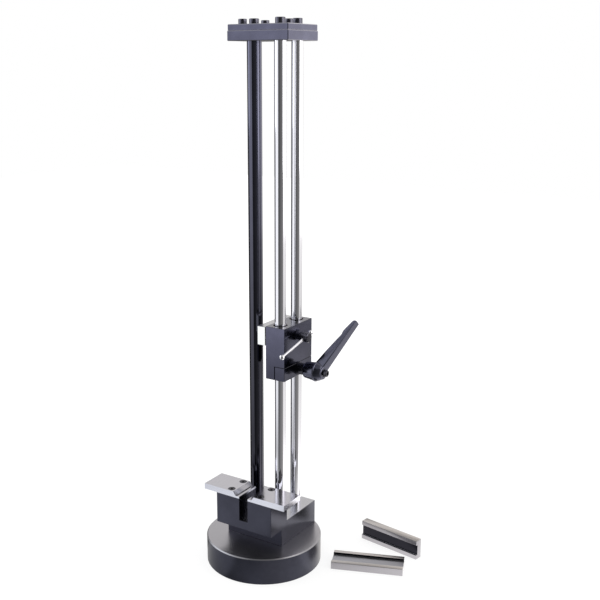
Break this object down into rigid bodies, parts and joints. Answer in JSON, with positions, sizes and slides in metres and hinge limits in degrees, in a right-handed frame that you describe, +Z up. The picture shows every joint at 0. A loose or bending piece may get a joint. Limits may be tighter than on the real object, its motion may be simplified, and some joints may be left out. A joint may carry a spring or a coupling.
{
  "type": "bore gauge setter",
  "caption": "Upright setting stand for bore gauges: round base with slotted block and ground anvil plates, rods with a sliding lever-clamped carriage, and loose grooved jaw bars.",
  "frame": {"origin": "centre of the round base disc's underside, on the surface that it stands on", "axes": "+Z up along the guide rods, +X to the right along the front, +Y to the back; the slotted front block faces -Y"},
  "size_m": [0.211, 0.1645, 0.5715],
  "materials": {
    "black_oxide": "satin black oxide on machined steel",
    "ground_steel": "fine ground steel",
    "bright_chrome": "polished hard chrome",
    "gloss_black": "polished black",
    "satin_black": "fine satin black coating on a die casting",
    "screw_black": "black oxide screw steel",
    "spring_steel": "plain hardened steel",
    "bronze": "plain bearing bronze"
  },
  "bodies": {
    "root": {"base_disc": "black_oxide", "disc_screws": "screw_black", "base_block": "black_oxide", "front_block": "black_oxide", "front_block_screws": "screw_black", "left_anvil_plate": "ground_steel", "right_anvil_plate": "ground_steel", "left_plate_screws": "screw_black", "right_plate_screws": "screw_black", "front_guide_rod": "bright_chrome", "rear_guide_rod": "bright_chrome", "support_column": "gloss_black", "tower_foot_screws": "screw_black", "lower_top_plate": "black_oxide", "upper_top_plate": "black_oxide", "tower_top_screws": "screw_black", "top_tie_screws": "screw_black"},
    "carriage": {"carriage_block": "black_oxide", "carriage_bushes": "bronze"},
    "clamp_jaw": {"clamp_jaw": "black_oxide", "lever_washer": "ground_steel"},
    "clamp_stud": {"lever_stud": "screw_black", "lever_screw": "screw_black"},
    "lever": {"lever_handle": "satin_black", "lever_spring": "spring_steel"},
    "pressure_jaw": {"pressure_jaw": "ground_steel", "jaw_guide_pins": "spring_steel", "jaw_retaining_pin": "spring_steel"},
    "tee_screw": {"tee_screw": "screw_black"},
    "tommy_bar": {"tommy_bar": "bright_chrome", "tommy_bar_balls": "bright_chrome"},
    "narrow_jaw_bar": {"narrow_jaw_bar": "ground_steel"},
    "wide_jaw_bar": {"wide_jaw_bar": "ground_steel"}
  },
  "joints": [
    {"name": "carriage_slide", "type": "slide", "parent": "root", "child": "carriage", "axis": [0, 0, 1], "range_m": [-0.13, 0.283]},
    {"name": "clamp_release", "type": "slide", "parent": "carriage", "child": "clamp_jaw", "axis": [1, 0, 0], "range_m": [0, 0.000416]},
    {"name": "lever_turn", "type": "hinge", "parent": "clamp_jaw", "child": "clamp_stud", "pos_m": [0.0312, 0.0196, 0.218], "axis": [1, 0, 0], "range_deg": [0, 120]},
    {"name": "lever_lift", "type": "slide", "parent": "clamp_stud", "child": "lever", "axis": [1, 0, 0], "range_m": [0, 0.0035], "stiffness_N_per_m": 1500, "springref_m": -0.004, "deforming": ["lever_spring"]},
    {"name": "jaw_advance", "type": "slide", "parent": "carriage", "child": "pressure_jaw", "axis": [-1, 0, 0], "range_m": [-0.000069, 0.000865]},
    {"name": "tee_turn", "type": "hinge", "parent": "pressure_jaw", "child": "tee_screw", "pos_m": [0.0397, 0.0196, 0.2531], "axis": [-1, 0, 0], "range_deg": [-20, 250]},
    {"name": "bar_slide", "type": "slide", "parent": "tee_screw", "child": "tommy_bar", "axis": [0, -0.9744, -0.225], "range_m": [-0.0372, 0.002]},
    {"name": "narrow_bar_lift", "type": "slide", "parent": "root", "child": "narrow_jaw_bar", "axis": [0, 0, 1], "range_m": [0, 0.06]},
    {"name": "wide_bar_lift", "type": "slide", "parent": "root", "child": "wide_jaw_bar", "axis": [0, 0, 1], "range_m": [0, 0.06]}
  ],
  "couplings": [
    {"joint": "lever_turn", "follows": "clamp_release", "rad_per_m": 5026.5},
    {"joint": "tee_turn", "follows": "jaw_advance", "rad_per_m": 5026.5}
  ]
}
